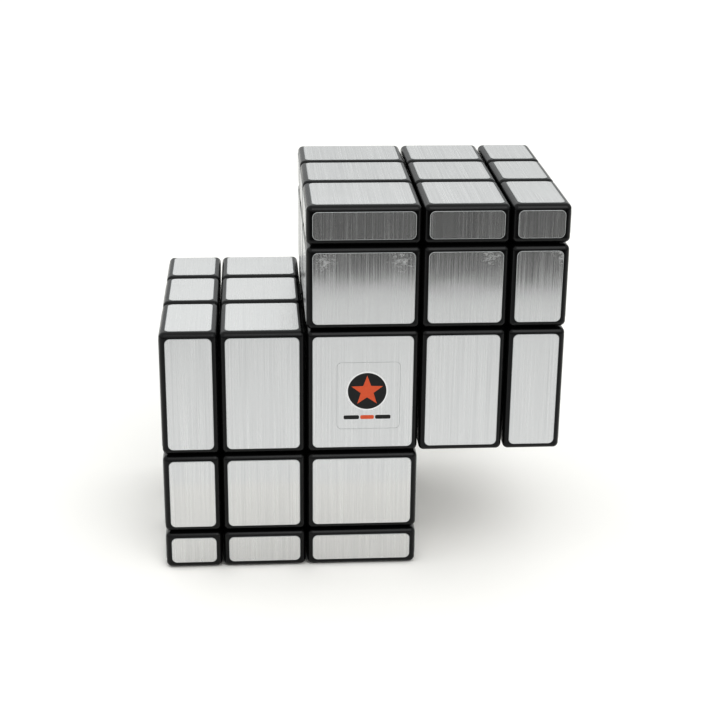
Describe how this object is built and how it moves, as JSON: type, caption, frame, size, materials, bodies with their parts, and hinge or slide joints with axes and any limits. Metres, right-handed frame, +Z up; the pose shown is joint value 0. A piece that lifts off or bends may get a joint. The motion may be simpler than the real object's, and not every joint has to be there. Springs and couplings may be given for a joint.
{
  "type": "twisty puzzle cube",
  "caption": "Two mirror-block twisty cubes joined along a shared column of blocks, in black plastic with brushed silver foil faces; the layers turn on inner cores.",
  "frame": {"origin": "on the ground, under the middle of the overall box, with the puzzle solved and standing on the lower cube", "axes": "+X to the right, towards the upper cube; +Y to the back; +Z up. The front face looks along -Y."},
  "size_m": [0.089, 0.057, 0.085],
  "materials": {
    "block_plastic": "black moulded plastic with a satin gloss",
    "brushed_foil": "silver foil film, finely brushed",
    "core_plastic": "plain moulded plastic, self-lubricating",
    "zinc_steel": "bright zinc-plated steel",
    "spring_steel": "drawn spring wire"
  },
  "bodies": {
    "joined_layers": {"foils_joined_layers": "brushed_foil", "lower_centre_top": "block_plastic", "lower_corner_left_back_top": "block_plastic", "lower_corner_left_front_top": "block_plastic", "lower_edge_back_top": "block_plastic", "lower_edge_front_top": "block_plastic", "lower_edge_left_top": "block_plastic", "shared_corner_back": "block_plastic", "shared_corner_front": "block_plastic", "shared_edge_middle": "block_plastic", "upper_centre_left": "block_plastic", "upper_corner_left_back_top": "block_plastic", "upper_corner_left_front_top": "block_plastic", "upper_edge_left_back": "block_plastic", "upper_edge_left_front": "block_plastic", "upper_edge_left_top": "block_plastic"},
    "lower_middle_layer": {"foils_lower_middle_layer": "brushed_foil", "lower_centre_back": "block_plastic", "lower_centre_front": "block_plastic", "lower_centre_left": "block_plastic", "lower_centre_right": "block_plastic", "lower_core": "core_plastic", "lower_core_screws": "zinc_steel", "lower_core_springs": "spring_steel", "lower_edge_left_back": "block_plastic", "lower_edge_left_front": "block_plastic", "lower_edge_right_back": "block_plastic", "lower_edge_right_front": "block_plastic"},
    "lower_bottom_layer": {"foils_lower_bottom_layer": "brushed_foil", "lower_centre_bottom": "block_plastic", "lower_corner_left_back_bottom": "block_plastic", "lower_corner_left_front_bottom": "block_plastic", "lower_corner_right_back_bottom": "block_plastic", "lower_corner_right_front_bottom": "block_plastic", "lower_edge_back_bottom": "block_plastic", "lower_edge_front_bottom": "block_plastic", "lower_edge_left_bottom": "block_plastic", "lower_edge_right_bottom": "block_plastic"},
    "upper_middle_layer": {"foils_upper_middle_layer": "brushed_foil", "upper_centre_back": "block_plastic", "upper_centre_bottom": "block_plastic", "upper_centre_front": "block_plastic", "upper_centre_top": "block_plastic", "upper_core": "core_plastic", "upper_core_screws": "zinc_steel", "upper_core_springs": "spring_steel", "upper_edge_back_bottom": "block_plastic", "upper_edge_back_top": "block_plastic", "upper_edge_front_bottom": "block_plastic", "upper_edge_front_top": "block_plastic"},
    "upper_right_layer": {"foils_upper_right_layer": "brushed_foil", "upper_centre_right": "block_plastic", "upper_corner_right_back_bottom": "block_plastic", "upper_corner_right_back_top": "block_plastic", "upper_corner_right_front_bottom": "block_plastic", "upper_corner_right_front_top": "block_plastic", "upper_edge_right_back": "block_plastic", "upper_edge_right_bottom": "block_plastic", "upper_edge_right_front": "block_plastic", "upper_edge_right_top": "block_plastic"}
  },
  "joints": [
    {"name": "lower_middle_turn", "type": "hinge", "parent": "joined_layers", "child": "lower_middle_layer", "pos_m": [-0.022, 0.002, 0.0185], "axis": [0, 0, 1], "continuous": true},
    {"name": "lower_bottom_turn", "type": "hinge", "parent": "lower_middle_layer", "child": "lower_bottom_layer", "pos_m": [-0.022, 0.002, 0.0185], "axis": [0, 0, 1], "continuous": true},
    {"name": "upper_middle_turn", "type": "hinge", "parent": "joined_layers", "child": "upper_middle_layer", "pos_m": [0.022, 0.002, 0.0665], "axis": [1, 0, 0], "continuous": true},
    {"name": "upper_right_turn", "type": "hinge", "parent": "upper_middle_layer", "child": "upper_right_layer", "pos_m": [0.022, 0.002, 0.0665], "axis": [1, 0, 0], "continuous": true}
  ]
}
